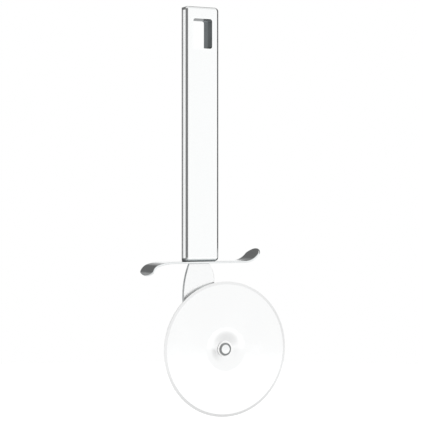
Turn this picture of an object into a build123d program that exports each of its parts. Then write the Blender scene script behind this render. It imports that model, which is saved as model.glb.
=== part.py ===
from build123d import *
import os

os.makedirs("parts", exist_ok=True)

# A pizza cutter of polished stainless steel, hanging with its handle upwards.
# The origin is the centre of the hanging eye. +Z runs up the handle, +Y runs away from
# the viewer through the eye, and the cutting disc spins about an axle along Y.

# Handle: a hollow grip of two pressed shells, flat in front and rounded behind
handle_length = 139.4
handle_width = 20.5
handle_depth = 10.8
handle_wall = 1.0
front_corner_radius = 2.1
side_flat_depth = 1.7
end_corner_radius = 2.2
back_end_rounding = 2.1
seam_share = 0.48

# Hanging eye: a window through the handle, lined with a welded sleeve
eye_width = 11.4
eye_height = 16.2
eye_corner_radius = 1.2
eye_top_margin = 6.7
eye_liner_wall = 0.9

# Base cap: the thick plate that closes the handle's lower end
cap_thickness = 2.6
cap_spigot_height = 4.0
seat_gap = 0.1

# Tang of the arm, and the steel block and pins that hold it inside the handle
tang_width = 8.0
block_height = 22.0
pin_radius = 1.5
press_gap = 0.02

# Finger guard: a strip with one end rolled down and the other rolled up, and bowed tips.
# The left end bends slowly and then tightly until it hangs almost straight down, and the
# strip narrows a little from the low tip to the high one.
guard_thickness = 1.0
guard_left_depth = 17.0
guard_flat_left = 18.0
guard_left_radius = 30.0
guard_left_angle = 18.0
guard_left_tip_radius = 5.8
guard_left_tip_angle = 57.0
guard_left_drop = 7.2
guard_left_bow = 1.8
guard_right_depth = 15.2
guard_flat_right = 25.2
guard_right_radius = 10.5
guard_right_angle = 50.0
guard_right_rise = 7.2
guard_right_bow = 2.6
guard_tip_corner_radius = 1.5
guard_edge_rounding = 0.35

# Arm: a flat plate that sweeps from the guard to the axle behind the disc
arm_thickness = 2.0
arm_neck_width = 11.6
arm_neck_rounding = 0.8
arm_left_reach = 9.5
arm_left_drop = 18.5
arm_right_reach = 9.2
arm_right_drop = 9.5
arm_boss_radius = 9.0
arm_edge_rounding = 0.2

# Place of the axle, from the handle's centre line and from the arm's shoulders
axle_offset = 15.1
axle_drop = 47.8

# Cutting disc: thin, ground sharp at the rim and dished towards the arm at the hub
disc_radius = 37.4
disc_thickness = 0.8
disc_bevel_width = 1.5
disc_edge_thickness = 0.25
hub_flat_radius = 4.6
hub_dish_radius = 9.8
hub_dish_depth = 1.5
hub_bend_radius = 1.0
dish_bend_radius = 16.0

# Axle: a shouldered rivet with a plastic washer on each side of the disc
shoulder_radius = 2.5
shank_radius = 2.0
rivet_head_radius = 3.5
rivet_head_rim = 0.45
rivet_head_height = 0.9
rivet_crown_radius = 2.5
rivet_crown_fall = 0.12
rivet_crown_rounding = 0.4
rivet_tail_radius = 3.0
rivet_tail_height = 1.1
burr_radius = 4.2
burr_thickness = 0.8
washer_thickness = 0.3
front_washer_radius = 4.4
rear_washer_radius = 4.8
running_gap = 0.05
end_play = 0.08

# One length by which every cut runs past the solid that it cuts
overrun = 1.0

# Heights and depths worked out from the sizes above
handle_top = eye_height / 2 + eye_top_margin
handle_base = handle_top - handle_length
shell_base = handle_base + cap_thickness
spigot_top = shell_base + cap_spigot_height
handle_front = -handle_depth / 2
back_corner_radius = handle_depth - front_corner_radius - side_flat_depth
seam_y = handle_front + seam_share * handle_depth
guard_middle = handle_base - guard_thickness / 2
shoulder_z = handle_base - guard_thickness
tang_top = spigot_top + block_height
arm_front = -arm_thickness / 2
arm_back = arm_thickness / 2

# The two cross pins, a quarter of the block in from its ends
pin_rise = block_height / 4
pin_places = [(0, spigot_top + pin_rise), (0, tang_top - pin_rise)]

# How high and how low the guard's tips reach
guard_top = guard_middle + guard_right_rise
guard_foot = guard_middle - guard_left_drop

# The axle's line, and the places along it from the arm towards the viewer
axle_z = shoulder_z - axle_drop
axle_line = Axis((axle_offset, 0, axle_z), (0, 1, 0))
profile_plane = Plane(origin=(axle_offset, 0, axle_z), x_dir=(1, 0, 0), z_dir=(0, 0, 1))
rear_washer_front = arm_front - washer_thickness
hub_back = rear_washer_front - end_play
hub_front = hub_back - disc_thickness
front_washer_back = hub_front - end_play
front_washer_front = front_washer_back - washer_thickness
head_top = front_washer_front - rivet_head_height
crown_edge = head_top + rivet_crown_fall
burr_back = arm_back + burr_thickness


def grip_section(plane, inset):
    """The handle's cross-section on a plane, drawn inwards by inset."""
    with BuildSketch(plane) as section:
        Rectangle(handle_width - 2 * inset, handle_depth - 2 * inset)
        front_corners = section.vertices().group_by(Axis.Y)[0]
        fillet(front_corners, front_corner_radius - inset)
        back_corners = section.vertices().group_by(Axis.Y)[-1]
        fillet(back_corners, back_corner_radius - inset)
    return section.sketch


def grip_outline(inset):
    """The handle's front view with its rounded corners, narrowed and lowered by inset."""
    with BuildSketch(Plane.XZ.offset(-handle_front)) as outline:
        with Locations((0, (handle_top + handle_base) / 2 - inset)):
            RectangleRounded(handle_width - 2 * inset, handle_length, end_corner_radius - inset)
    return outline.sketch


def eye_outline(margin):
    """The hanging eye's rounded window, grown by margin, at the viewer's side of the handle."""
    with BuildSketch(Plane.XZ.offset(-handle_front + overrun)) as window:
        RectangleRounded(eye_width + 2 * margin, eye_height + 2 * margin, eye_corner_radius + margin)
    return window.sketch


def export_piece(piece, name):
    """Give a finished piece its name and write it to its own file."""
    piece.part.label = name
    export_step(piece.part, f"parts/{name}.step")


# Shapes that several pieces are cut from: the handle's outside and hollow, the eye, the tang's slot
with BuildPart() as grip_outside:
    extrude(grip_outline(0), -handle_depth)
    fillet(grip_outside.faces().sort_by(Axis.Y)[0].edges(), front_corner_radius)
    fillet(grip_outside.faces().sort_by(Axis.Y)[-1].edges(), back_end_rounding)
    whole_section = grip_section(Plane.XY.offset(handle_base - overrun), 0)
    extrude(whole_section, handle_length + 2 * overrun, mode=Mode.INTERSECT)

with BuildPart() as grip_hollow:
    extrude(grip_outline(handle_wall), -handle_depth)
    hollow_section = grip_section(Plane.XY.offset(shell_base - overrun), handle_wall)
    extrude(hollow_section, handle_length, mode=Mode.INTERSECT)

with BuildPart() as eye_cut:
    extrude(eye_outline(eye_liner_wall), -handle_depth - 2 * overrun)

with BuildPart() as tang_slot:
    with BuildSketch(Plane.XY.offset(shoulder_z - overrun)):
        Rectangle(tang_width + 2 * seat_gap, arm_thickness + 2 * seat_gap)
    extrude(amount=tang_top - shoulder_z + 2 * overrun)


def grip_shell(name, split_side):
    """One pressed half of the handle, on one side of the seam and above the base cap."""
    with BuildPart() as shell:
        add(grip_outside.part)
        add(grip_hollow.part, mode=Mode.SUBTRACT)
        add(eye_cut.part, mode=Mode.SUBTRACT)
        split(bisect_by=Plane.XZ.offset(-seam_y), keep=split_side)
        split(bisect_by=Plane.XY.offset(shell_base), keep=Keep.TOP)
    export_piece(shell, name)


# Two half shells, welded along the seam and round the eye
grip_shell("handle_front_shell", Keep.TOP)
grip_shell("handle_back_shell", Keep.BOTTOM)

# Liner: the sleeve that lines the eye, ground flush with the handle in front and behind
with BuildPart() as eye_liner:
    add(grip_outside.part)
    add(eye_cut.part, mode=Mode.INTERSECT)
    extrude(eye_outline(0), -handle_depth - 2 * overrun, mode=Mode.SUBTRACT)
export_piece(eye_liner, "hanging_eye_liner")

# Base cap: rounded outside, with a spigot inside the shells and a slot for the tang
with BuildPart() as base_cap:
    add(grip_outside.part)
    split(bisect_by=Plane.XY.offset(shell_base), keep=Keep.BOTTOM)
    extrude(grip_section(Plane.XY.offset(shell_base), handle_wall + seat_gap), cap_spigot_height)
    add(tang_slot.part, mode=Mode.SUBTRACT)
export_piece(base_cap, "handle_base_cap")

# Tang block: fills the hollow above the cap, with the tang in its slot and two cross holes
with BuildPart() as tang_block:
    extrude(grip_section(Plane.XY.offset(spigot_top), handle_wall + seat_gap), block_height)
    add(tang_slot.part, mode=Mode.SUBTRACT)
    with BuildSketch(Plane.XZ.offset(-handle_front)):
        with Locations(pin_places):
            Circle(pin_radius + press_gap)
    extrude(amount=-handle_depth, mode=Mode.SUBTRACT)
export_piece(tang_block, "tang_block")

# Tang pins: driven through the block and the tang, ends flush with the block
with BuildPart() as tang_pins:
    with BuildSketch(Plane.XZ.offset(-handle_front - handle_wall - seat_gap)):
        with Locations(pin_places):
            Circle(pin_radius)
    extrude(amount=-handle_depth + 2 * (handle_wall + seat_gap))
export_piece(tang_pins, "tang_pins")

# Finger guard: clamped between the cap and the arm's shoulders, its tips cut to a shallow bow
with BuildPart() as guard:
    with BuildSketch(Plane.XZ):
        with BuildLine():
            flat = Line((guard_flat_right, guard_middle), (-guard_flat_left, guard_middle))
            left_bend = JernArc(flat @ 1, flat % 1, guard_left_radius, guard_left_angle)
            left_roll = JernArc(left_bend @ 1, left_bend % 1, guard_left_tip_radius, guard_left_tip_angle)
            Line(left_roll @ 1, left_roll @ 1 + left_roll % 1 * guard_left_drop)
            right_bend = JernArc(flat @ 0, -(flat % 0), guard_right_radius, guard_right_angle)
            Line(right_bend @ 1, right_bend @ 1 + right_bend % 1 * guard_right_rise)
            offset(amount=guard_thickness / 2, side=Side.BOTH)
        make_face()
    extrude(amount=guard_left_depth / 2 + overrun, both=True)
    with BuildSketch(Plane.YZ) as tip_outline:
        with BuildLine():
            top_bow = ThreePointArc(
                (-guard_right_depth / 2, guard_top - guard_right_bow),
                (0, guard_top),
                (guard_right_depth / 2, guard_top - guard_right_bow))
            low_bow = ThreePointArc(
                (-guard_left_depth / 2, guard_foot + guard_left_bow),
                (0, guard_foot),
                (guard_left_depth / 2, guard_foot + guard_left_bow))
            Line(top_bow @ 0, low_bow @ 0)
            Line(top_bow @ 1, low_bow @ 1)
        make_face()
        fillet(tip_outline.vertices(), guard_tip_corner_radius)
    extrude(amount=handle_length, both=True, mode=Mode.INTERSECT)
    fillet(guard.edges(), guard_edge_rounding)
    add(tang_slot.part, mode=Mode.SUBTRACT)
export_piece(guard, "finger_guard")

# Arm: the left edge is one long sweep into the boss, the right edge a shoulder and a hollow curve
left_drop = axle_drop - arm_left_drop
left_run = axle_offset + arm_left_reach
left_radius = (left_run**2 + left_drop**2 - arm_boss_radius**2) / (2 * (left_run - arm_boss_radius))
right_drop = axle_drop - arm_right_drop
right_run = axle_offset - arm_right_reach
right_radius = (right_run**2 + right_drop**2 - arm_boss_radius**2) / (2 * (right_run + arm_boss_radius))

axle_point = Vector(axle_offset, axle_z)
left_flank = Vector(-arm_left_reach, shoulder_z - arm_left_drop)
right_flank = Vector(arm_right_reach, shoulder_z - arm_right_drop)
left_centre = left_flank + Vector(left_radius, 0)
right_centre = right_flank + Vector(right_radius, 0)
left_touch = axle_point + (axle_point - left_centre).normalized() * arm_boss_radius
right_touch = axle_point + (right_centre - axle_point).normalized() * arm_boss_radius
left_neck = Vector(-arm_neck_width / 2, shoulder_z)
right_neck = Vector(arm_neck_width / 2, shoulder_z)

with BuildPart() as arm:
    with BuildSketch(Plane.XZ.offset(-arm_front)) as arm_outline:
        with BuildLine():
            TangentArc(left_flank, left_neck, tangent=(0, 1))
            Line(left_neck, right_neck)
            TangentArc(right_flank, right_neck, tangent=(0, 1))
            TangentArc(right_flank, right_touch, tangent=(0, -1))
            Line(right_touch, left_touch)
            TangentArc(left_flank, left_touch, tangent=(0, -1))
        make_face()
        fillet(arm_outline.vertices().group_by(Axis.Y)[-1], arm_neck_rounding)
        with Locations(axle_point):
            Circle(arm_boss_radius)
    extrude(amount=-arm_thickness)
    fillet(arm.faces().filter_by(Axis.Y).edges(), arm_edge_rounding)
    with BuildSketch(Plane.XZ.offset(-arm_front)):
        with Locations((0, (shoulder_z - arm_neck_rounding + tang_top) / 2)):
            Rectangle(tang_width, tang_top - shoulder_z + arm_neck_rounding)
    extrude(amount=-arm_thickness)
    with BuildSketch(Plane.XZ.offset(-arm_front)):
        with Locations(pin_places):
            Circle(pin_radius + press_gap)
        with Locations(axle_point):
            Circle(shank_radius + press_gap)
    extrude(amount=-arm_thickness, mode=Mode.SUBTRACT)
export_piece(arm, "wheel_arm")

# Cutting disc: the rim stands forward of the hub by the depth of the dish
rim_back = hub_back - hub_dish_depth
rim_front = hub_front - hub_dish_depth
rim_middle = (rim_back + rim_front) / 2
bevel_radius = disc_radius - disc_bevel_width
bore_radius = shoulder_radius + running_gap

with BuildPart() as disc:
    with BuildSketch(profile_plane) as disc_profile:
        with BuildLine():
            Polyline(
                (bore_radius, hub_back),
                (hub_flat_radius, hub_back),
                (hub_dish_radius, rim_back),
                (bevel_radius, rim_back),
                (disc_radius, rim_middle + disc_edge_thickness / 2),
                (disc_radius, rim_middle - disc_edge_thickness / 2),
                (bevel_radius, rim_front),
                (hub_dish_radius, rim_front),
                (hub_flat_radius, hub_front),
                (bore_radius, hub_front),
                close=True,
            )
        make_face()
        for radius, bend_radius in ((hub_flat_radius, hub_bend_radius), (hub_dish_radius, dish_bend_radius)):
            fillet(disc_profile.vertices().filter_by_position(Axis.X, radius, radius), bend_radius)
    revolve(axis=axle_line)
export_piece(disc, "cutting_disc")


def axle_ring(name, front, thickness, outer_radius, inner_radius):
    """A flat washer on the axle, with its front face at the depth given."""
    face_plane = Plane(origin=(axle_offset, front, axle_z), x_dir=(1, 0, 0), z_dir=(0, 1, 0))
    with BuildPart() as ring:
        with BuildSketch(face_plane):
            Circle(outer_radius)
            Circle(inner_radius, mode=Mode.SUBTRACT)
        extrude(amount=thickness)
    export_piece(ring, name)


# Plastic washers that keep the disc off the rivet head and the arm, and the steel burr behind
axle_ring("front_washer", front_washer_front, washer_thickness, front_washer_radius, bore_radius)
axle_ring("rear_washer", rear_washer_front, washer_thickness, rear_washer_radius, bore_radius)
axle_ring("rivet_burr", arm_back, burr_thickness, burr_radius, shank_radius + press_gap)

# Axle rivet: domed head, shoulder that the disc turns on, and a tail closed over the burr
with BuildPart() as rivet:
    with BuildSketch(profile_plane) as rivet_profile:
        with BuildLine():
            TangentArc((0, head_top), (rivet_crown_radius, crown_edge), tangent=(1, 0))
            Polyline(
                (rivet_crown_radius, crown_edge),
                (rivet_head_radius, front_washer_front - rivet_head_rim),
                (rivet_head_radius, front_washer_front),
                (shoulder_radius, front_washer_front),
                (shoulder_radius, arm_front),
                (shank_radius, arm_front),
                (shank_radius, burr_back),
                (rivet_tail_radius, burr_back),
            )
            TangentArc((0, burr_back + rivet_tail_height), (rivet_tail_radius, burr_back), tangent=(1, 0))
            Line((0, burr_back + rivet_tail_height), (0, head_top))
        make_face()
        crown_corner = rivet_profile.vertices().filter_by_position(Axis.Y, crown_edge, crown_edge)
        fillet(crown_corner, rivet_crown_rounding)
    revolve(axis=axle_line)
export_piece(rivet, "axle_rivet")
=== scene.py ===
import math

import bmesh
import bpy
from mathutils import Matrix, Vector


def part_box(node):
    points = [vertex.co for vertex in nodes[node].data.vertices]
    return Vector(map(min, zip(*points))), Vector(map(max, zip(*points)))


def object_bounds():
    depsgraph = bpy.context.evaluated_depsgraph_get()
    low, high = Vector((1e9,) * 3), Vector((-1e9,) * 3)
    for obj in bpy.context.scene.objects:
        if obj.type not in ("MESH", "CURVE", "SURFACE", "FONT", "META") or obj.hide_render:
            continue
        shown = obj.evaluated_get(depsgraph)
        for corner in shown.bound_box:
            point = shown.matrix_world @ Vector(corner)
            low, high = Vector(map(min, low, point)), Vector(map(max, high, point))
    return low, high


bl_info = {
    "name": "Pizza Cutter",
    "version": (1, 0, 0),
    "blender": (4, 5, 0),
    "location": "View3D > Sidebar > Pizza Cutter",
    "description": "Finishes a packed pizza cutter in satin and polished steel, in a white studio",
    "category": "Object",
}

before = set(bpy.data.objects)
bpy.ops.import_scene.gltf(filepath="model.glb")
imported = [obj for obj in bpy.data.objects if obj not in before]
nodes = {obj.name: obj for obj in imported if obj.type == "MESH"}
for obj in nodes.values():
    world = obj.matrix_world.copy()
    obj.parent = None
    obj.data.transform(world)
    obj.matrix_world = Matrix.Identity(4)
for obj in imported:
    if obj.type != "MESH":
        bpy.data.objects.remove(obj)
cad_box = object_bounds()

# Where the pieces are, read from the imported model
disc_low, disc_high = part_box("cutting_disc")
disc_centre = (disc_low + disc_high) / 2
disc_radius = (disc_high.z - disc_low.z) / 2
cap_low, cap_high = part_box("handle_base_cap")
liner_low, liner_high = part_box("hanging_eye_liner")

# The photograph's frame
PHOTO_PIXELS = 423
SENSOR_WIDTH = 36.0

# Brushed finishes: how dull each is, its lines per metre along X, Y and Z, and their depth
handle_lines = (5000.0, 5000.0, 60.0)
tang_finish = {"roughness": 0.38, "lines": (3000.0, 60.0, 3000.0), "depth": 0.000003}
guard_finish = {"roughness": 0.09, "lines": (60.0, 4000.0, 400.0), "depth": 0.0000008}
arm_finish = {"roughness": 0.2, "lines": (4000.0, 4000.0, 80.0), "depth": 0.0000015}
rivet_finish = {"roughness": 0.15, "lines": (2500.0, 800.0, 2500.0), "depth": 0.0000008}

# How dull the places painted with shade are: the arm's walls, the contact shadow at its neck and
# the rivet's shoulder
painted_wall_roughness = 0.42
neck_shadow_roughness = 0.4
painted_shoulder_roughness = 0.36

# The guard's thickness, by which the arm's neck starts below the base cap, and the height of
# the painted contact shadow there
guard_thickness = 0.001
neck_shadow_height = 0.0005

# Half the width over which one finish turns into the next, or into painted shade
lip_blend = 0.0001
neck_shadow_blend = 0.0002
shoulder_blend = 0.00015
bevel_blend = 0.00005
dish_blend = 0.0025

# The studio as the steel sees it. Bearings are degrees to the left of the handle's front, and
# heights are degrees above the horizon. Softboxes stand in front and to the left, a white
# backdrop stands behind, and the room between them and high up behind them is dim.
bearing_light = [
    (-180, 0.15), (-167, 0.15), (-159, 1.0), (-147, 1.0), (-143, 0.05),
    (-68, 0.05), (-61, 0.85), (-43, 1.04), (11, 1.04), (18, 0.20),
    (90, 0.20), (98, 1.0), (155, 1.0), (158, 0.15), (180, 0.15),
]
front_height_light = [(-90, 0.50), (-37, 0.50), (-30, 0.72), (-12, 1.04), (90, 1.04)]
back_height_light = [
    (-90, 0.55), (-35, 0.70), (-14, 1.0), (10, 1.0), (13, 0.4), (18, 0.25), (28, 0.18), (90, 0.18),
]

# Where the back's heights start to replace the front's, and where they have done so
back_start = 75.0
back_full = 110.0

# The ceiling's light and where it starts, and the light of the world for all but the steel
ceiling_light = 0.85
ceiling_start = 40.0
ceiling_full = 60.0
plain_light = 0.82

# How much the floor adds to what the steel sees of it, near the object and far away, and what it
# adds for the camera
near_reach = 0.15
far_reach = 0.42
near_glow = 0.0
far_glow = 0.17
camera_glow = 0.45

# The lamp, from the middle of the cutter
lamp_offset = Vector((0.5, -1.1, 0.9))
lamp_size = 1.0
lamp_power = 9.0

# Sides of the round floor
floor_sides = 96

# How far apart linked nodes stand in the node editor
node_step = 200


def grey(value):
    """An opaque grey of one linear value."""
    return (value, value, value, 1.0)


def shaded(colour, share):
    """A colour darkened to a share of itself."""
    return (colour[0] * share, colour[1] * share, colour[2] * share, 1.0)


class HandleSettings(bpy.types.PropertyGroup):
    """Finish of the handle and what is welded into it"""

    steel: bpy.props.FloatVectorProperty(
        name="Handle steel",
        description="Colour of the satin steel of the handle and its base cap",
        subtype="COLOR", size=4, min=0.0, max=1.0, default=(0.95, 0.96, 0.96, 1.0))
    roughness: bpy.props.FloatProperty(
        name="Handle roughness", description="How dull the handle's satin finish is",
        subtype="FACTOR", min=0.0, max=1.0, default=0.13)
    grain_depth: bpy.props.FloatProperty(
        name="Grain depth", description="Depth of the fine lines brushed along the handle",
        subtype="DISTANCE", unit="LENGTH", min=0.0, default=0.0000015)
    # Painted shade: a darker band at the foot of the base cap, where it meets the guard
    lip_painted_shade: bpy.props.FloatVectorProperty(
        name="Lip shade", description="Colour of the darker lip at the foot of the base cap",
        subtype="COLOR", size=4, min=0.0, max=1.0, default=(0.58, 0.6, 0.605, 1.0))
    lip_height: bpy.props.FloatProperty(
        name="Lip height", description="Height of the darker lip at the foot of the base cap",
        subtype="DISTANCE", unit="LENGTH", min=0.0, default=0.0011)
    # Painted shade inside the eye: its inner walls darkened, more in the front half
    front_eye_shade: bpy.props.FloatVectorProperty(
        name="Eye, front half", description="Colour of the eye's inner wall towards the front",
        subtype="COLOR", size=4, min=0.0, max=1.0, default=(0.13, 0.145, 0.15, 1.0))
    back_eye_shade: bpy.props.FloatVectorProperty(
        name="Eye, back half", description="Colour of the eye's inner wall towards the back",
        subtype="COLOR", size=4, min=0.0, max=1.0, default=(0.2, 0.22, 0.23, 1.0))


class WorkingEndSettings(bpy.types.PropertyGroup):
    """Finish of the guard, the arm, the disc and its axle"""

    polished_steel: bpy.props.FloatVectorProperty(
        name="Polished steel", description="Colour of the polished guard",
        subtype="COLOR", size=4, min=0.0, max=1.0, default=(0.86, 0.88, 0.885, 1.0))
    arm_steel: bpy.props.FloatVectorProperty(
        name="Arm steel", description="Colour of the arm's satin steel",
        subtype="COLOR", size=4, min=0.0, max=1.0, default=(0.93, 0.935, 0.935, 1.0))
    # Painted shade on the arm's side walls
    painted_wall_shade: bpy.props.FloatVectorProperty(
        name="Arm wall", description="Colour of the painted shade on the side walls of the arm",
        subtype="COLOR", size=4, min=0.0, max=1.0, default=(0.56, 0.58, 0.585, 1.0))
    # Painted shadow: a thin darker line where the arm meets the guard
    neck_painted_shadow: bpy.props.FloatVectorProperty(
        name="Neck shadow", description="Colour of the thin painted contact shadow where the arm meets the guard",
        subtype="COLOR", size=4, min=0.0, max=1.0, default=(0.62, 0.63, 0.63, 1.0))
    disc_steel: bpy.props.FloatVectorProperty(
        name="Disc steel", description="Colour of the disc's polished faces",
        subtype="COLOR", size=4, min=0.0, max=1.0, default=(0.93, 0.935, 0.935, 1.0))
    bevel_steel: bpy.props.FloatVectorProperty(
        name="Bevel steel", description="Colour of the ground cutting bevel",
        subtype="COLOR", size=4, min=0.0, max=1.0, default=(0.88, 0.885, 0.885, 1.0))
    bevel_width: bpy.props.FloatProperty(
        name="Bevel width", description="Width of the ground bevel round the disc's rim",
        subtype="DISTANCE", unit="LENGTH", min=0.0, default=0.0015)
    dish_radius: bpy.props.FloatProperty(
        name="Dish radius", description="Radius of the duller pressed dish round the disc's hub",
        subtype="DISTANCE", unit="LENGTH", min=0.0, default=0.009)
    rivet_steel: bpy.props.FloatVectorProperty(
        name="Rivet steel", description="Colour of the rivet and its burr",
        subtype="COLOR", size=4, min=0.0, max=1.0, default=(0.9, 0.91, 0.91, 1.0))
    # Painted shade: a dark ring round the shoulder of the rivet's head
    painted_shoulder_shade: bpy.props.FloatVectorProperty(
        name="Rivet shoulder",
        description="Colour of the painted shade on the shoulder round the rivet's head",
        subtype="COLOR", size=4, min=0.0, max=1.0, default=(0.28, 0.29, 0.29, 1.0))
    rivet_crown: bpy.props.FloatProperty(
        name="Rivet crown",
        description="Radius of the bright crown in the middle of the rivet's head",
        subtype="DISTANCE", unit="LENGTH", min=0.0, default=0.0025)
    washer_plastic: bpy.props.FloatVectorProperty(
        name="Washer plastic", description="Colour of the two washers",
        subtype="COLOR", size=4, min=0.0, max=1.0, default=(0.97, 0.97, 0.965, 1.0))


class StudioSettings(bpy.types.PropertyGroup):
    """The camera, the floor and the light"""

    view_azimuth: bpy.props.FloatProperty(
        name="View azimuth", description="Angle of the camera to the left of straight ahead",
        subtype="ANGLE", unit="ROTATION", default=math.radians(26.4))
    view_distance: bpy.props.FloatProperty(
        name="View distance", description="Distance from the camera to the handle's axis",
        subtype="DISTANCE", unit="LENGTH", min=0.1, default=0.825)
    eye_height: bpy.props.FloatProperty(
        name="Eye height", description="Height of the camera, from the centre of the hanging eye",
        subtype="DISTANCE", unit="LENGTH", default=-0.0973)
    side_shift: bpy.props.FloatProperty(
        name="Side shift",
        description="How far the camera stands to the right of the handle's axis",
        subtype="DISTANCE", unit="LENGTH", default=0.00715)
    focal_pixels: bpy.props.FloatProperty(
        name="Focal length in pixels", description="Focal length, in pixels of the photograph",
        subtype="PIXEL", min=100.0, default=1500.0)
    floor_drop: bpy.props.FloatProperty(
        name="Floor drop", description="Height of the disc above the floor as the cutter hangs",
        subtype="DISTANCE", unit="LENGTH", min=0.0, default=0.06)
    floor_radius: bpy.props.FloatProperty(
        name="Floor radius", description="Radius of the round floor",
        subtype="DISTANCE", unit="LENGTH", min=0.1, default=0.9)
    floor_colour: bpy.props.FloatVectorProperty(
        name="Floor colour", description="Colour of the pale floor",
        subtype="COLOR", size=4, min=0.0, max=1.0, default=(0.82, 0.82, 0.82, 1.0))


def feed(tree, node, sources):
    """Give a node's inputs their sources: another node's output, or a fixed value."""
    for label, source in sources.items():
        if isinstance(source, bpy.types.NodeSocket):
            tree.links.new(source, node.inputs[label])
        else:
            node.inputs[label].default_value = source


def add_node(tree, kind, x, y, sources=None, **settings):
    """A shader node at a place in its tree, with its settings and the sources of its inputs."""
    node = tree.nodes.new(kind)
    node.location = (x, y)
    for name, value in settings.items():
        setattr(node, name, value)
    feed(tree, node, sources or {})
    return node


def number(tree, operation, x, y, *sources):
    """The number that an operation makes of its sources."""
    node = add_node(
        tree, "ShaderNodeMath", x, y, dict(enumerate(sources)), operation=operation)
    return node.outputs["Value"]


def vector_node(tree, operation, x, y, *sources):
    """The node of an operation on vectors."""
    return add_node(
        tree, "ShaderNodeVectorMath", x, y, dict(enumerate(sources)), operation=operation)


def vector_parts(tree, vector, x, y):
    """The X, Y and Z of a vector."""
    return add_node(tree, "ShaderNodeSeparateXYZ", x, y, {"Vector": vector}).outputs


def mask_over(tree, value, low, high, x, y, interpolation="SMOOTHSTEP"):
    """A mask that goes from 0 to 1 as the value goes from low to high."""
    mask = add_node(
        tree, "ShaderNodeMapRange", x, y, {"Value": value, "From Min": low, "From Max": high},
        interpolation_type=interpolation)
    return mask.outputs["Result"]


def spread(tree, share, low, high, x, y):
    """A number that goes from low to high as the share goes from 0 to 1."""
    node = add_node(
        tree, "ShaderNodeMapRange", x, y, {"Value": share, "To Min": low, "To Max": high})
    return node.outputs["Result"]


def mixed(tree, kind, mask, first, second, x, y, **settings):
    """A colour or a number that goes from first to second with the mask."""
    node = add_node(
        tree, "ShaderNodeMix", x, y, {"Factor": mask, "A": first, "B": second},
        data_type=kind, **settings)
    return node.outputs["Result"]


def mixed_colour(tree, mask, first, second, x, y, **settings):
    """A colour that goes from first to second with the mask."""
    return mixed(tree, "RGBA", mask, first, second, x, y, **settings)


def mixed_number(tree, mask, first, second, x, y):
    """A number that goes from first to second with the mask."""
    return mixed(tree, "FLOAT", mask, first, second, x, y)


def new_group(name, inputs, outputs):
    """An empty shader node group with named inputs and outputs, and its two end nodes."""
    group = bpy.data.node_groups.new(name, "ShaderNodeTree")
    for label, kind, default in inputs:
        socket = group.interface.new_socket(label, in_out="INPUT", socket_type=kind)
        if default is not None:
            socket.default_value = default
    for label, kind in outputs:
        group.interface.new_socket(label, in_out="OUTPUT", socket_type=kind)
    start = add_node(group, "NodeGroupInput", -900, 0)
    end = add_node(group, "NodeGroupOutput", 700, 0)
    return group, start, end


def place_group(tree, name, x, y, sources):
    """A shared group placed in a material, with its own sources."""
    return add_node(
        tree, "ShaderNodeGroup", x, y, sources, node_tree=bpy.data.node_groups[name])


def new_material(name):
    """An empty node material with its output and a Principled shader."""
    material = bpy.data.materials.new(name)
    material.use_nodes = True
    tree = material.node_tree
    tree.nodes.clear()
    shader = add_node(tree, "ShaderNodeBsdfPrincipled", 900, 0)
    add_node(tree, "ShaderNodeOutputMaterial", 1200, 0, {"Surface": shader.outputs["BSDF"]})
    return material, tree, shader


def give_material(node_name, material):
    """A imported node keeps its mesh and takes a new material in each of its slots."""
    for slot in nodes[node_name].material_slots:
        slot.material = material


# Scale and number of finer layers of the noise that draws the lines, and of the finer one
line_scale = 1.0
line_detail = 3.0
fine_line_scale = 4.0
fine_line_detail = 2.0


def brushed_lines_group():
    """Fine lines of a brushed finish: noise stretched along one way."""
    group, start, end = new_group(
        "Brushed lines",
        [("Vector", "NodeSocketVector", None),
         ("Stretch", "NodeSocketVector", (1.0, 1.0, 1.0))],
        [("Lines", "NodeSocketFloat"), ("Fine lines", "NodeSocketFloat")])
    stretched = vector_node(
        group, "MULTIPLY", -650, 0, start.outputs["Vector"], start.outputs["Stretch"])
    for label, scale, detail, y in (
            ("Lines", line_scale, line_detail, 120),
            ("Fine lines", fine_line_scale, fine_line_detail, -160)):
        noise = add_node(
            group, "ShaderNodeTexNoise", -400, y,
            {"Vector": stretched.outputs["Vector"], "Scale": scale, "Detail": detail})
        feed(group, end, {label: noise.outputs["Fac"]})


# The smears' noise, and the levels of it at which they start and are full
smear_detail = 4.0
smear_distortion = 0.6
smear_start = 0.42
smear_full = 0.72

# The width of a scratch as a share of its cell, and the noise that keeps scratches sparse
scratch_share = 0.008
sparse_scale = 170.0
sparse_start = 0.56
sparse_full = 0.66


def handling_marks_group():
    """Faint wear of use: soft smears, and sparse hairline scratches that run every way."""
    group, start, end = new_group(
        "Handling marks",
        [("Vector", "NodeSocketVector", None),
         ("Smear size", "NodeSocketFloat", 60.0),
         ("Scratch size", "NodeSocketFloat", 90.0)],
        [("Smears", "NodeSocketFloat"), ("Scratches", "NodeSocketFloat")])
    place = start.outputs["Vector"]
    smears = add_node(
        group, "ShaderNodeTexNoise", -600, 200,
        {"Vector": place, "Scale": start.outputs["Smear size"], "Detail": smear_detail,
         "Distortion": smear_distortion})
    cells = add_node(
        group, "ShaderNodeTexVoronoi", -600, -160,
        {"Vector": place, "Scale": start.outputs["Scratch size"]}, feature="DISTANCE_TO_EDGE")
    patches = add_node(
        group, "ShaderNodeTexNoise", -600, -440, {"Vector": place, "Scale": sparse_scale})
    hairlines = mask_over(
        group, cells.outputs["Distance"], scratch_share, 0, -350, -160, interpolation="LINEAR")
    kept = mask_over(
        group, patches.outputs["Fac"], sparse_start, sparse_full, -350, -440,
        interpolation="LINEAR")
    feed(group, end, {
        "Smears": mask_over(group, smears.outputs["Fac"], smear_start, smear_full, -350, 200),
        "Scratches": number(group, "MULTIPLY", -100, -260, hairlines, kept),
    })


# What of a place counts for its distance from the axle, which runs along Y
across_axle = (1.0, 0.0, 1.0)


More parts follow.
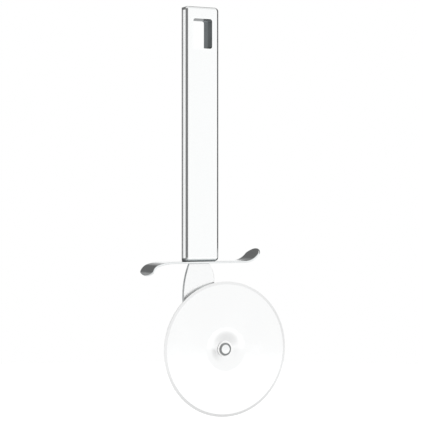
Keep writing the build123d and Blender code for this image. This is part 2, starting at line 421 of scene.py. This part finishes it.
def axle_distance_group():
    """How far a point is from the axle, and how far round it lies."""
    group, start, end = new_group(
        "Axle distance",
        [("Vector", "NodeSocketVector", None), ("Centre", "NodeSocketVector", disc_centre)],
        [("Distance", "NodeSocketFloat"), ("Polar", "NodeSocketVector")])
    offset = vector_node(
        group, "SUBTRACT", -700, 0, start.outputs["Vector"], start.outputs["Centre"])
    flat = vector_node(group, "MULTIPLY", -500, 0, offset.outputs["Vector"], across_axle)
    distance = vector_node(group, "LENGTH", -300, 100, flat.outputs["Vector"]).outputs["Value"]
    parts = vector_parts(group, flat.outputs["Vector"], -300, -160)
    turn = number(group, "ARCTAN2", -100, -160, parts["Z"], parts["X"])
    polar = add_node(group, "ShaderNodeCombineXYZ", 100, 0, {"X": distance, "Y": turn})
    feed(group, end, {"Distance": distance, "Polar": polar.outputs["Vector"]})


def facing_share(tree, x, y):
    """How squarely a surface faces to the front or the back, from 0 to 1."""
    place = add_node(tree, "ShaderNodeTexCoord", x - node_step, y)
    parts = vector_parts(tree, place.outputs["Normal"], x, y)
    return number(tree, "ABSOLUTE", x + node_step, y, parts["Y"])


def height_mask(tree, low, high, x, y):
    """A mask that goes smoothly from 0 to 1 as the height goes from low to high."""
    place = add_node(tree, "ShaderNodeTexCoord", x - 2 * node_step, y)
    parts = vector_parts(tree, place.outputs["Object"], x - node_step, y)
    return mask_over(tree, parts["Z"], low, high, x, y)


def painted_shade_over(material, mask, colour, roughness):
    """Lay a colour and a roughness over what a material already has, where the mask is 1; here it
    paints shade.
    """
    tree = material.node_tree
    shader = tree.nodes["Principled BSDF"]
    for label, kind, value, y in (
            ("Base Color", "RGBA", colour, 400), ("Roughness", "FLOAT", roughness, 200)):
        under = shader.inputs[label].links[0].from_socket
        feed(tree, shader, {label: mixed(tree, kind, mask, under, value, 600, y)})


# How far a brushed line darkens the steel, how smooth and rough the lines are, how much duller a
# smear is, and how deep a scratch is beside the lines, each as a share
line_shade_share = 0.96
smooth_line_share = 0.85
rough_line_share = 1.15
smear_share = 0.3
scratch_depth_share = -0.6


def brushed_steel(name, colour, roughness, lines, depth):
    """Stainless steel with fine brushed lines and faint marks of use."""
    material, tree, shader = new_material(name)
    place = add_node(tree, "ShaderNodeTexCoord", -900, 0).outputs["Object"]
    grain = place_group(tree, "Brushed lines", -600, 150, {"Vector": place, "Stretch": lines})
    marks = place_group(tree, "Handling marks", -600, -150, {"Vector": place})
    line_roughness = spread(
        tree, grain.outputs["Lines"], roughness * smooth_line_share,
        roughness * rough_line_share, -200, 60)
    relief = number(
        tree, "MULTIPLY_ADD", -200, -260,
        marks.outputs["Scratches"], scratch_depth_share, grain.outputs["Fine lines"])
    bump = add_node(
        tree, "ShaderNodeBump", 400, -260, {"Strength": 1.0, "Distance": depth, "Height": relief})
    feed(tree, shader, {
        "Base Color": mixed_colour(
            tree, grain.outputs["Lines"], colour, shaded(colour, line_shade_share), -200, 300),
        "Metallic": 1.0,
        "Roughness": number(
            tree, "MULTIPLY_ADD", 50, 0,
            marks.outputs["Smears"], roughness * smear_share, line_roughness),
        "Normal": bump.outputs["Normal"],
    })
    return material


# How squarely a face of the liner has to face the front to be its rim, how dull the rim is, and
# how dull the sleeve is where it is clean and where it is smeared
rim_start_share = 0.6
rim_full_share = 0.8
rim_roughness = 0.16
sleeve_roughness = 0.32
sleeve_smear_roughness = 0.42

# The share of the eye's depth over which the painted shade of its darker front half turns into its
# back half
eye_fade_share = 0.04


def eye_liner_painted_shade(name, rim_colour, front_shade_colour, back_shade_colour):
    """The eye's liner: inner walls painted with shade, darker in the front half, dull like grey
    steel, with rims like the handle.
    """
    material, tree, shader = new_material(name)
    place = add_node(tree, "ShaderNodeTexCoord", -900, 0).outputs["Object"]
    marks = place_group(tree, "Handling marks", -600, -150, {"Vector": place})
    middle = (liner_low.y + liner_high.y) / 2
    fade = (liner_high.y - liner_low.y) * eye_fade_share
    depth = vector_parts(tree, place, -600, 200)["Y"]
    back_half = mask_over(tree, depth, middle - fade, middle + fade, -350, 200)
    inside = mixed_colour(tree, back_half, front_shade_colour, back_shade_colour, 0, 200)
    inside_roughness = spread(
        tree, marks.outputs["Smears"], sleeve_roughness, sleeve_smear_roughness, 0, -100)
    rim = mask_over(
        tree, facing_share(tree, -600, 450), rim_start_share, rim_full_share, -200, 450)
    feed(tree, shader, {
        "Base Color": mixed_colour(tree, rim, inside, rim_colour, 300, 300),
        "Metallic": 1.0,
        "Roughness": mixed_number(tree, rim, inside_roughness, rim_roughness, 300, -100),
    })
    return material


# The disc's turned rings and its ground bevel: lines per metre outwards and per radian round
ring_lines = (9000.0, 1.5, 1.0)
bevel_lines = (500.0, 160.0, 1.0)
ring_shade_share = 0.98
bevel_shade_share = 0.9
disc_line_depth = 0.0000006

# How dull the disc's face is where it is clean and where it is smeared, and its dish and bevel
face_roughness = 0.1
face_smear_roughness = 0.16
dish_roughness = 0.22
bevel_roughness = 0.28


def disc_steel(name, face_colour, bevel_colour, bevel_width, dish_radius):
    """The disc: polished faces with faint turned rings, a duller dish and a ground bevel."""
    material, tree, shader = new_material(name)
    place = add_node(tree, "ShaderNodeTexCoord", -900, 0).outputs["Object"]
    axle = place_group(
        tree, "Axle distance", -600, 0, {"Vector": place, "Centre": disc_centre}).outputs
    rings = place_group(
        tree, "Brushed lines", -300, 0,
        {"Vector": axle["Polar"], "Stretch": ring_lines}).outputs
    ground = place_group(
        tree, "Brushed lines", -300, -260,
        {"Vector": axle["Polar"], "Stretch": bevel_lines}).outputs
    marks = place_group(tree, "Handling marks", -300, -520, {"Vector": place})
    bevel_start = disc_radius - bevel_width
    rim = mask_over(
        tree, axle["Distance"], bevel_start - bevel_blend, bevel_start + bevel_blend, -300, 260)
    dish = mask_over(
        tree, axle["Distance"], dish_radius + dish_blend, dish_radius - dish_blend, -300, 760)
    face = mixed_colour(
        tree, rings["Lines"], face_colour, shaded(face_colour, ring_shade_share), 0, 500)
    bevel = mixed_colour(
        tree, ground["Lines"], bevel_colour, shaded(bevel_colour, bevel_shade_share), 0, 260)
    smeared = spread(
        tree, marks.outputs["Smears"], face_roughness, face_smear_roughness, 0, 0)
    inner_roughness = mixed_number(tree, dish, smeared, dish_roughness, 150, 60)
    relief = mixed_number(tree, rim, rings["Fine lines"], ground["Fine lines"], 300, -200)
    bump = add_node(
        tree, "ShaderNodeBump", 550, -200, {"Distance": disc_line_depth, "Height": relief})
    feed(tree, shader, {
        "Base Color": mixed_colour(tree, rim, face, bevel, 300, 400),
        "Metallic": 1.0,
        "Roughness": mixed_number(tree, rim, inner_roughness, bevel_roughness, 300, 60),
        "Normal": bump.outputs["Normal"],
    })
    return material


# The washers' marks, smaller than those on the steel, and how dull they are, clean and smeared
washer_smear_size = 400.0
washer_scratch_size = 700.0
washer_shade_share = 0.96
washer_roughness = 0.36
washer_smear_roughness = 0.5


def washer_plastic(name, colour):
    """Natural white plastic, slightly cloudy and a little worn."""
    material, tree, shader = new_material(name)
    place = add_node(tree, "ShaderNodeTexCoord", -900, 0).outputs["Object"]
    marks = place_group(
        tree, "Handling marks", -600, 0,
        {"Vector": place, "Smear size": washer_smear_size, "Scratch size": washer_scratch_size})
    smears = marks.outputs["Smears"]
    feed(tree, shader, {
        "Base Color": mixed_colour(
            tree, smears, colour, shaded(colour, washer_shade_share), -200, 200),
        "Roughness": spread(
            tree, smears, washer_roughness, washer_smear_roughness, -200, -100),
    })
    return material


class CUTTER_OT_handle(bpy.types.Operator):
    """Finish the handle's two shells, its base cap and the eye's liner"""

    bl_idname = "cutter.handle"
    bl_label = "Handle"

    def execute(self, context):
        settings = context.scene.cutter_handle
        satin, cap = [
            brushed_steel(
                name, settings.steel, settings.roughness, handle_lines, settings.grain_depth)
            for name in ("handle satin steel", "base cap steel")]
        for name in ("handle_front_shell", "handle_back_shell"):
            give_material(name, satin)
        # Paint shade on a band at the foot of the base cap
        lip_top = cap_low.z + settings.lip_height
        lip = height_mask(cap.node_tree, lip_top + lip_blend, lip_top - lip_blend, 100, 700)
        painted_shade_over(cap, lip, settings.lip_painted_shade, settings.roughness)
        give_material("handle_base_cap", cap)
        liner = eye_liner_painted_shade(
            "eye liner steel", settings.steel, settings.front_eye_shade, settings.back_eye_shade)
        give_material("hanging_eye_liner", liner)
        return {"FINISHED"}


# The colour of the plain machined steel inside the handle
tang_steel = grey(0.5)


class CUTTER_OT_tang(bpy.types.Operator):
    """Finish the block and the cross pins that hold the tang inside the handle"""

    bl_idname = "cutter.tang"
    bl_label = "Tang block and pins"

    def execute(self, context):
        steel = brushed_steel("machined steel", tang_steel, **tang_finish)
        for name in ("tang_block", "tang_pins"):
            give_material(name, steel)
        return {"FINISHED"}


class CUTTER_OT_guard(bpy.types.Operator):
    """Finish the finger guard"""

    bl_idname = "cutter.guard"
    bl_label = "Finger guard"

    def execute(self, context):
        settings = context.scene.cutter_working_end
        steel = brushed_steel("guard polished steel", settings.polished_steel, **guard_finish)
        give_material("finger_guard", steel)
        return {"FINISHED"}


# How squarely the arm's surface faces the front where its face ends and where its wall, painted
# with shade, starts
arm_face_share = 0.7
arm_wall_share = 0.3


class CUTTER_OT_arm(bpy.types.Operator):
    """Finish the arm, with painted shade on its side walls and a painted contact shadow at its
    neck
    """

    bl_idname = "cutter.arm"
    bl_label = "Arm"

    def execute(self, context):
        settings = context.scene.cutter_working_end
        steel = brushed_steel("arm satin steel", settings.arm_steel, **arm_finish)
        tree = steel.node_tree
        # Paint shade on the arm's side walls
        facing = facing_share(tree, -300, 700)
        wall = mask_over(tree, facing, arm_face_share, arm_wall_share, 100, 700)
        painted_shade_over(steel, wall, settings.painted_wall_shade, painted_wall_roughness)
        # Paint a contact shadow along the arm's neck, just under the guard
        neck_shadow_foot = cap_low.z - guard_thickness - neck_shadow_height
        seam = height_mask(tree, neck_shadow_foot - neck_shadow_blend, neck_shadow_foot + neck_shadow_blend, 100, 1000)
        painted_shade_over(steel, seam, settings.neck_painted_shadow, neck_shadow_roughness)
        give_material("wheel_arm", steel)
        return {"FINISHED"}


class CUTTER_OT_disc(bpy.types.Operator):
    """Finish the cutting disc, with its dish and its ground bevel"""

    bl_idname = "cutter.disc"
    bl_label = "Cutting disc"

    def execute(self, context):
        settings = context.scene.cutter_working_end
        steel = disc_steel(
            "disc turned steel", settings.disc_steel, settings.bevel_steel,
            settings.bevel_width, settings.dish_radius)
        give_material("cutting_disc", steel)
        return {"FINISHED"}


class CUTTER_OT_axle(bpy.types.Operator):
    """Finish the axle rivet, its burr and the two washers"""

    bl_idname = "cutter.axle"
    bl_label = "Axle"

    def execute(self, context):
        settings = context.scene.cutter_working_end
        burr, head = [
            brushed_steel(name, settings.rivet_steel, **rivet_finish)
            for name in ("rivet polished steel", "rivet head steel")]
        give_material("rivet_burr", burr)
        tree = head.node_tree
        place = add_node(tree, "ShaderNodeTexCoord", -300, 700).outputs["Object"]
        axle = place_group(
            tree, "Axle distance", -100, 700, {"Vector": place, "Centre": disc_centre})
        # Paint shade on the rivet head's shoulder, outside its bright crown
        crown = settings.rivet_crown
        shoulder = mask_over(
            tree, axle.outputs["Distance"], crown - shoulder_blend, crown + shoulder_blend,
            100, 700)
        painted_shade_over(head, shoulder, settings.painted_shoulder_shade, painted_shoulder_roughness)
        give_material("axle_rivet", head)
        plastic = washer_plastic("washer plastic", settings.washer_plastic)
        for name in ("front_washer", "rear_washer"):
            give_material(name, plastic)
        return {"FINISHED"}


def set_ramp(ramp, stops):
    """The stops of a colour ramp, each a place and a grey."""
    while len(ramp.elements) > 1:
        ramp.elements.remove(ramp.elements[-1])
    ramp.elements[0].position = stops[0][0]
    ramp.elements[0].color = grey(stops[0][1])
    for place, value in stops[1:]:
        ramp.elements.new(place).color = grey(value)


def angle_ramp(tree, angle, reach, stops, x, y):
    """A ramp of greys over an angle that runs from -reach to reach degrees."""
    share = add_node(
        tree, "ShaderNodeMapRange", x, y,
        {"Value": angle, "From Min": -math.radians(reach), "From Max": math.radians(reach)})
    ramp = add_node(
        tree, "ShaderNodeValToRGB", x + node_step, y, {"Fac": share.outputs["Result"]})
    stop_shares = [((degrees + reach) / (2 * reach), value) for degrees, value in stops]
    set_ramp(ramp.color_ramp, stop_shares)
    return ramp.outputs["Color"]


def angle_mask(tree, angle, low, high, x, y):
    """A mask that goes smoothly from 0 to 1 as the angle goes from low to high degrees."""
    return mask_over(tree, angle, math.radians(low), math.radians(high), x, y)


def studio_world():
    """A white world for the camera, a soft studio for the steel and an even light for the rest."""
    world = bpy.data.worlds.new("studio")
    world.use_nodes = True
    tree = world.node_tree
    tree.nodes.clear()
    place = add_node(tree, "ShaderNodeTexCoord", -1400, 0)
    parts = vector_parts(tree, place.outputs["Generated"], -1200, 0)
    left = number(tree, "MULTIPLY", -1000, 120, parts["X"], -1.0)
    ahead = number(tree, "MULTIPLY", -1000, -60, parts["Y"], -1.0)
    bearing = number(tree, "ARCTAN2", -800, 60, left, ahead)
    height = number(tree, "ARCSINE", -800, -200, parts["Z"])
    turned = number(tree, "ABSOLUTE", -600, 320, bearing)
    around = angle_ramp(tree, bearing, 180, bearing_light, -600, 60)
    front = angle_ramp(tree, height, 90, front_height_light, -600, -200)
    back = angle_ramp(tree, height, 90, back_height_light, -600, -460)
    behind = angle_mask(tree, turned, back_start, back_full, -400, 320)
    overhead = angle_mask(tree, height, ceiling_start, ceiling_full, -150, -520)
    heights = mixed_colour(tree, behind, front, back, -150, -260)
    walls = mixed_colour(tree, 1.0, around, heights, 0, 0, blend_type="DARKEN")
    studio = mixed_colour(tree, overhead, walls, grey(ceiling_light), 150, -150)
    rays = add_node(tree, "ShaderNodeLightPath", -50, 400).outputs
    seen = mixed_colour(tree, rays["Is Glossy Ray"], grey(plain_light), studio, 350, 100)
    light = mixed_colour(tree, rays["Is Camera Ray"], seen, grey(1.0), 550, 100)
    background = add_node(
        tree, "ShaderNodeBackground", 750, 100, {"Color": light, "Strength": 1.0})
    add_node(
        tree, "ShaderNodeOutputWorld", 950, 100, {"Surface": background.outputs["Background"]})
    return world


# The floor's faint mottling and how dull it is
mottle_scale = 6.0
mottle_shade_share = 0.99
floor_roughness = 0.9


def floor_material(name, colour):
    """A pale floor that looks white to the camera and the steel but keeps the object's shadow."""
    material, tree, shader = new_material(name)
    place = add_node(tree, "ShaderNodeTexCoord", -600, 0).outputs["Object"]
    mottle = add_node(
        tree, "ShaderNodeTexNoise", -400, 0, {"Vector": place, "Scale": mottle_scale})
    rays = add_node(tree, "ShaderNodeLightPath", 0, 500).outputs
    fill = number(tree, "MULTIPLY", 300, 400, rays["Is Camera Ray"], camera_glow)
    reach = vector_node(tree, "LENGTH", -400, 300, place)
    glow = add_node(
        tree, "ShaderNodeMapRange", -150, 300,
        {"Value": reach.outputs["Value"], "From Min": near_reach, "From Max": far_reach,
         "To Min": near_glow, "To Max": far_glow},
        interpolation_type="SMOOTHSTEP")
    feed(tree, shader, {
        "Base Color": mixed_colour(
            tree, mottle.outputs["Fac"], colour, shaded(colour, mottle_shade_share), -150, 0),
        "Roughness": floor_roughness,
        "Specular IOR Level": 0.0,
        "Emission Color": grey(1.0),
        "Emission Strength": number(
            tree, "MULTIPLY_ADD", 600, 300, rays["Is Glossy Ray"], glow.outputs["Result"], fill),
    })
    return material


def add_camera(settings):
    """The camera at the photograph's place, angle and focal length."""
    azimuth = settings.view_azimuth
    forward = Vector((math.sin(azimuth), math.cos(azimuth), 0))
    right = Vector((math.cos(azimuth), -math.sin(azimuth), 0))
    data = bpy.data.cameras.new("photograph")
    data.sensor_width = SENSOR_WIDTH
    data.lens = SENSOR_WIDTH * settings.focal_pixels / PHOTO_PIXELS
    camera = bpy.data.objects.new("photograph", data)
    camera.location = right * settings.side_shift - forward * settings.view_distance
    camera.location.z = settings.eye_height
    camera.rotation_euler = forward.to_track_quat("-Z", "Y").to_euler()
    bpy.context.scene.collection.objects.link(camera)
    bpy.context.scene.camera = camera


def add_floor(settings):
    """The round floor below the hanging cutter."""
    mesh = bpy.data.meshes.new("floor")
    shape = bmesh.new()
    bmesh.ops.create_circle(
        shape, cap_ends=True, segments=floor_sides, radius=settings.floor_radius)
    shape.to_mesh(mesh)
    shape.free()
    mesh.materials.append(floor_material("pale floor", settings.floor_colour))
    floor = bpy.data.objects.new("floor", mesh)
    floor.location = (0, 0, disc_low.z - settings.floor_drop)
    bpy.context.scene.collection.objects.link(floor)


def add_soft_lamp(name, place, target):
    """A large square lamp that points at a target."""
    data = bpy.data.lights.new(name, "AREA")
    data.shape = "SQUARE"
    data.size = lamp_size
    data.energy = lamp_power
    lamp = bpy.data.objects.new(name, data)
    lamp.location = place
    lamp.rotation_euler = (target - place).to_track_quat("-Z", "Y").to_euler()
    lamp.visible_glossy = False
    bpy.context.scene.collection.objects.link(lamp)


class CUTTER_OT_studio(bpy.types.Operator):
    """Set up the camera, the pale floor and the soft studio light"""

    bl_idname = "cutter.studio"
    bl_label = "Studio"

    def execute(self, context):
        settings = context.scene.cutter_studio
        context.scene.view_settings.view_transform = "Standard"
        context.scene.world = studio_world()
        add_camera(settings)
        add_floor(settings)
        centre = (cad_box[0] + cad_box[1]) / 2
        add_soft_lamp("front softbox", centre + lamp_offset, centre)
        return {"FINISHED"}


class CUTTER_PT_panel(bpy.types.Panel):
    """The cutter's pieces and their finishes, in the sidebar"""

    bl_idname = "CUTTER_PT_panel"
    bl_label = "Pizza Cutter"
    bl_space_type = "VIEW_3D"
    bl_region_type = "UI"
    bl_category = "Pizza Cutter"

    def draw(self, context):
        layout = self.layout
        for heading, settings in (
                ("Handle", context.scene.cutter_handle),
                ("Working end", context.scene.cutter_working_end),
                ("Studio", context.scene.cutter_studio)):
            box = layout.box()
            box.label(text=heading)
            for name in settings.__annotations__:
                box.prop(settings, name)
        for operator in OPERATORS:
            layout.operator(operator.bl_idname)


SETTINGS = (HandleSettings, WorkingEndSettings, StudioSettings)
OPERATORS = (
    CUTTER_OT_handle, CUTTER_OT_tang, CUTTER_OT_guard, CUTTER_OT_arm,
    CUTTER_OT_disc, CUTTER_OT_axle, CUTTER_OT_studio,
)


def register():
    for cls in (*SETTINGS, *OPERATORS, CUTTER_PT_panel):
        bpy.utils.register_class(cls)
    bpy.types.Scene.cutter_handle = bpy.props.PointerProperty(type=HandleSettings)
    bpy.types.Scene.cutter_working_end = bpy.props.PointerProperty(type=WorkingEndSettings)
    bpy.types.Scene.cutter_studio = bpy.props.PointerProperty(type=StudioSettings)


def unregister():
    del bpy.types.Scene.cutter_studio
    del bpy.types.Scene.cutter_working_end
    del bpy.types.Scene.cutter_handle
    for cls in reversed((*SETTINGS, *OPERATORS, CUTTER_PT_panel)):
        bpy.utils.unregister_class(cls)


def main():
    register()
    brushed_lines_group()
    handling_marks_group()
    axle_distance_group()
    bpy.ops.cutter.handle()
    bpy.ops.cutter.tang()
    bpy.ops.cutter.guard()
    bpy.ops.cutter.arm()
    bpy.ops.cutter.disc()
    bpy.ops.cutter.axle()
    bpy.ops.cutter.studio()


if __name__ == "__main__":
    main()
